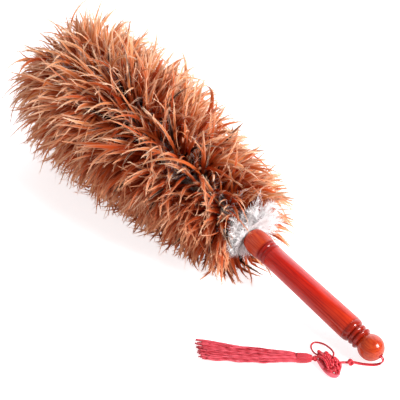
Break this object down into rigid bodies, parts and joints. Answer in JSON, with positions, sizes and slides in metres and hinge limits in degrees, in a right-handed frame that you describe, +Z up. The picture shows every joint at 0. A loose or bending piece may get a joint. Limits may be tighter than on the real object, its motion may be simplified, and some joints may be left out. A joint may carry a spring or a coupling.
{
  "type": "feather duster",
  "caption": "Hand duster of rust-brown feathers tied in rows on a cane core, with a turned red wooden handle, a ring of white down and a knotted cord with a tassel at the ball end.",
  "frame": {"origin": "centre of the underside of the duster as it lies at rest, measured without the cord and its tassel", "axes": "+X from the feather tip towards the ball end of the handle, +Z up from the surface it lies on, +Y by the right-hand rule; the duster's own axis rises 9 degrees from the ball towards the tip"},
  "size_m": [0.5874, 0.2226, 0.1824],
  "materials": {
    "lacquered_wood": "gloss",
    "cane": "matte",
    "binding_thread": "matte",
    "rust_feather": "satin",
    "white_down": "matte",
    "cord": "satin",
    "satin_band": "satin",
    "satin_wrap": "satin",
    "tassel_thread": "satin"
  },
  "bodies": {
    "duster": {"handle": "lacquered_wood", "core_rod": "cane", "cord_anchor_knot": "cord", "down_ruff": "white_down", "ruff_binding": "binding_thread", "feather_course_01": "rust_feather", "feather_course_02": "rust_feather", "feather_course_03": "rust_feather", "feather_course_04": "rust_feather", "feather_course_05": "rust_feather", "feather_course_06": "rust_feather", "feather_course_07": "rust_feather", "feather_course_08": "rust_feather", "feather_course_09": "rust_feather", "feather_course_10": "rust_feather", "feather_course_11": "rust_feather", "feather_course_12": "rust_feather", "course_binding_01": "binding_thread", "course_binding_02": "binding_thread", "course_binding_03": "binding_thread", "course_binding_04": "binding_thread", "course_binding_05": "binding_thread", "course_binding_06": "binding_thread", "course_binding_07": "binding_thread", "course_binding_08": "binding_thread", "course_binding_09": "binding_thread", "course_binding_10": "binding_thread", "course_binding_11": "binding_thread", "course_binding_12": "binding_thread", "tip_tuft": "rust_feather", "tip_binding": "binding_thread"},
    "pendant": {"cord_strand_left": "cord", "cord_strand_right": "cord", "small_knot": "cord", "link_cord": "cord", "cloverleaf_knot": "cord", "rear_knot_loop": "cord", "front_knot_band": "satin_band"},
    "tassel": {"tassel_cap": "satin_band", "tassel_wrap": "satin_wrap", "tassel_skirt": "tassel_thread"}
  },
  "joints": [
    {"name": "tassel_swing", "type": "hinge", "parent": "duster", "child": "pendant", "pos_m": [0.2939, 0.0003, 0], "axis": [0, 0, 1], "range_deg": [-12, 170], "deforming": ["cord_strand_left", "cord_strand_right"]},
    {"name": "tassel_bend", "type": "hinge", "parent": "pendant", "child": "tassel", "pos_m": [0.2517, -0.0439, 0], "axis": [0, 0, 1], "range_deg": [-30, 34]}
  ]
}
